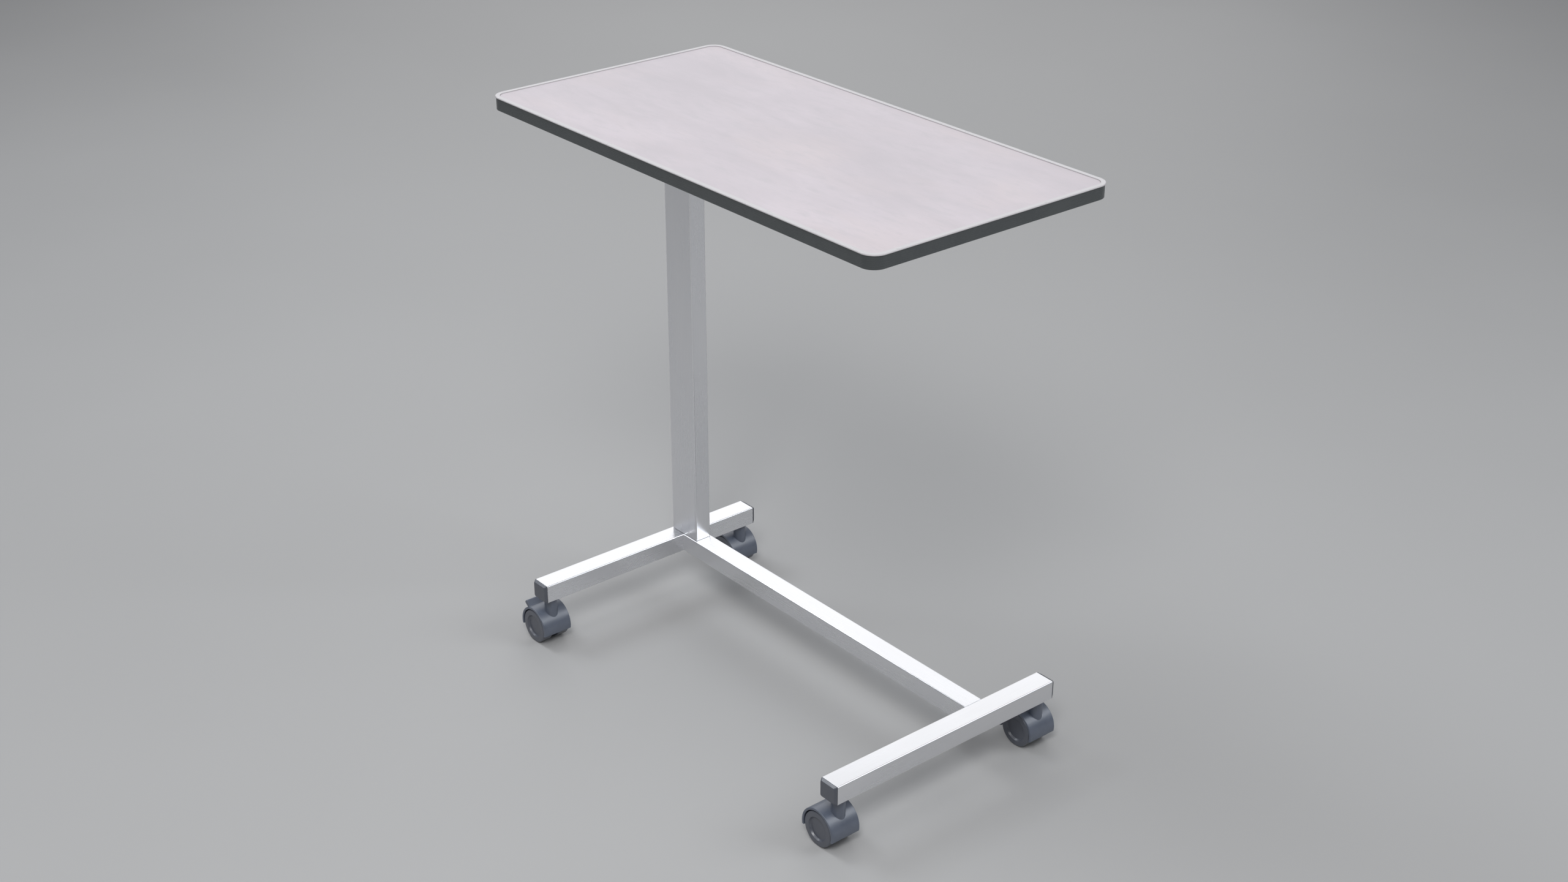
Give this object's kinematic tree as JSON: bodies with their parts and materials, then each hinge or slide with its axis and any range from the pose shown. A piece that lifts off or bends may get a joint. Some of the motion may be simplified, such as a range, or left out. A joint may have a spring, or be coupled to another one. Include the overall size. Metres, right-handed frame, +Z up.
{
  "type": "overbed table",
  "caption": "Cantilevered overbed table: rectangular laminated top with a raised lip, on a side column that slides up and down, over an H-shaped base with swivel castors.",
  "frame": {"origin": "on the floor, under the middle of the top", "axes": "+X along the top, away from the column; +Y towards the side where the column stands; +Z up"},
  "size_m": [0.76, 0.3974, 0.8178],
  "materials": {
    "frame_aluminium": "satin anodised",
    "zinc_steel": "zinc plated",
    "painted_steel": "grey powder coat",
    "glide_plastic": "moulded acetal",
    "black_plastic": "fine grained",
    "board": "raw particle board",
    "backing_sheet": "plain grey backing laminate",
    "laminate": "satin laminate with faint stone clouding",
    "edge_band": "dark grey, semi-matt",
    "edge_lip": "pale, smooth",
    "plug_plastic": "dark grey moulded",
    "castor_plastic": "slate grey moulded",
    "wheel_plastic": "dark grey moulded"
  },
  "bodies": {
    "base": {"rear_crossbar": "frame_aluminium", "front_crossbar": "frame_aluminium", "longitudinal_bar": "frame_aluminium", "rear_left_end_plug": "plug_plastic", "rear_right_end_plug": "plug_plastic", "front_left_end_plug": "plug_plastic", "front_right_end_plug": "plug_plastic", "rear_left_castor_stem": "zinc_steel", "rear_right_castor_stem": "zinc_steel", "front_left_castor_stem": "zinc_steel", "front_right_castor_stem": "zinc_steel", "inner_mast": "zinc_steel", "mast_foot_block": "zinc_steel", "mast_bolt_1": "zinc_steel", "mast_bolt_2": "zinc_steel", "mast_top_glide": "glide_plastic", "gas_spring_cylinder": "black_plastic", "gas_spring_anchor_pin": "zinc_steel"},
    "top": {"column_sleeve": "frame_aluminium", "sleeve_bottom_glide": "glide_plastic", "gas_spring_rod": "zinc_steel", "release_head": "painted_steel", "lever_bracket": "painted_steel", "lever_pivot_pin": "zinc_steel", "support_plate": "painted_steel", "left_rail": "painted_steel", "right_rail": "painted_steel", "top_screw_1": "zinc_steel", "top_screw_2": "zinc_steel", "top_screw_3": "zinc_steel", "top_screw_4": "zinc_steel", "top_screw_5": "zinc_steel", "top_screw_6": "zinc_steel", "tabletop_core": "board", "tabletop_backing": "backing_sheet", "tabletop_laminate": "laminate", "edge_band": "edge_band", "edge_lip": "edge_lip"},
    "lever": {"release_lever": "painted_steel", "lever_grip": "black_plastic"},
    "pin": {"release_pin": "zinc_steel"},
    "rear_left_castor": {"rear_left_castor_hood": "castor_plastic", "rear_left_castor_axle": "zinc_steel"},
    "rear_left_outer_wheel": {"rear_left_outer_wheel": "wheel_plastic"},
    "rear_left_inner_wheel": {"rear_left_inner_wheel": "wheel_plastic"},
    "rear_left_brake": {"rear_left_brake_pedal": "castor_plastic"},
    "rear_right_castor": {"rear_right_castor_hood": "castor_plastic", "rear_right_castor_axle": "zinc_steel"},
    "rear_right_outer_wheel": {"rear_right_outer_wheel": "wheel_plastic"},
    "rear_right_inner_wheel": {"rear_right_inner_wheel": "wheel_plastic"},
    "rear_right_brake": {"rear_right_brake_pedal": "castor_plastic"},
    "front_left_castor": {"front_left_castor_hood": "castor_plastic", "front_left_castor_axle": "zinc_steel"},
    "front_left_outer_wheel": {"front_left_outer_wheel": "wheel_plastic"},
    "front_left_inner_wheel": {"front_left_inner_wheel": "wheel_plastic"},
    "front_right_castor": {"front_right_castor_hood": "castor_plastic", "front_right_castor_axle": "zinc_steel"},
    "front_right_outer_wheel": {"front_right_outer_wheel": "wheel_plastic"},
    "front_right_inner_wheel": {"front_right_inner_wheel": "wheel_plastic"}
  },
  "joints": [
    {"name": "height_slide", "type": "slide", "parent": "base", "child": "top", "axis": [0, 0, 1], "range_m": [0, 0.3]},
    {"name": "release_lever_hinge", "type": "hinge", "parent": "top", "child": "lever", "pos_m": [-0.30445, 0.095, 0.7678], "axis": [1, 0, 0], "range_deg": [0, 6], "stiffness_Nm_per_rad": 0.6, "springref_deg": -5.73},
    {"name": "release_pin_slide", "type": "slide", "parent": "top", "child": "pin", "axis": [0, 0, -1], "range_m": [0, 0.0025]},
    {"name": "rear_left_swivel", "type": "hinge", "parent": "base", "child": "rear_left_castor", "pos_m": [-0.31985, -0.1757, 0.06], "axis": [0, 0, 1], "continuous": true},
    {"name": "rear_left_outer_roll", "type": "hinge", "parent": "rear_left_castor", "child": "rear_left_outer_wheel", "pos_m": [-0.33405, -0.1896, 0.025], "axis": [0, 1, 0], "continuous": true},
    {"name": "rear_left_inner_roll", "type": "hinge", "parent": "rear_left_castor", "child": "rear_left_inner_wheel", "pos_m": [-0.33405, -0.1618, 0.025], "axis": [0, 1, 0], "continuous": true},
    {"name": "rear_left_brake_hinge", "type": "hinge", "parent": "rear_left_castor", "child": "rear_left_brake", "pos_m": [-0.34743, -0.1757, 0.05016], "axis": [0, -1, 0], "range_deg": [0, 7.5]},
    {"name": "rear_right_swivel", "type": "hinge", "parent": "base", "child": "rear_right_castor", "pos_m": [-0.31985, 0.1757, 0.06], "axis": [0, 0, 1], "continuous": true},
    {"name": "rear_right_outer_roll", "type": "hinge", "parent": "rear_right_castor", "child": "rear_right_outer_wheel", "pos_m": [-0.33405, 0.1896, 0.025], "axis": [0, 1, 0], "continuous": true},
    {"name": "rear_right_inner_roll", "type": "hinge", "parent": "rear_right_castor", "child": "rear_right_inner_wheel", "pos_m": [-0.33405, 0.1618, 0.025], "axis": [0, 1, 0], "continuous": true},
    {"name": "rear_right_brake_hinge", "type": "hinge", "parent": "rear_right_castor", "child": "rear_right_brake", "pos_m": [-0.34743, 0.1757, 0.05016], "axis": [0, -1, 0], "range_deg": [0, 7.5]},
    {"name": "front_left_swivel", "type": "hinge", "parent": "base", "child": "front_left_castor", "pos_m": [0.31985, -0.1757, 0.06], "axis": [0, 0, 1], "continuous": true},
    {"name": "front_left_outer_roll", "type": "hinge", "parent": "front_left_castor", "child": "front_left_outer_wheel", "pos_m": [0.30565, -0.1896, 0.025], "axis": [0, 1, 0], "continuous": true},
    {"name": "front_left_inner_roll", "type": "hinge", "parent": "front_left_castor", "child": "front_left_inner_wheel", "pos_m": [0.30565, -0.1618, 0.025], "axis": [0, 1, 0], "continuous": true},
    {"name": "front_right_swivel", "type": "hinge", "parent": "base", "child": "front_right_castor", "pos_m": [0.31985, 0.1757, 0.06], "axis": [0, 0, 1], "continuous": true},
    {"name": "front_right_outer_roll", "type": "hinge", "parent": "front_right_castor", "child": "front_right_outer_wheel", "pos_m": [0.30565, 0.1896, 0.025], "axis": [0, 1, 0], "continuous": true},
    {"name": "front_right_inner_roll", "type": "hinge", "parent": "front_right_castor", "child": "front_right_inner_wheel", "pos_m": [0.30565, 0.1618, 0.025], "axis": [0, 1, 0], "continuous": true}
  ],
  "couplings": [
    {"joint": "release_pin_slide", "follows": "release_lever_hinge", "m_per_rad": 0.0235}
  ]
}
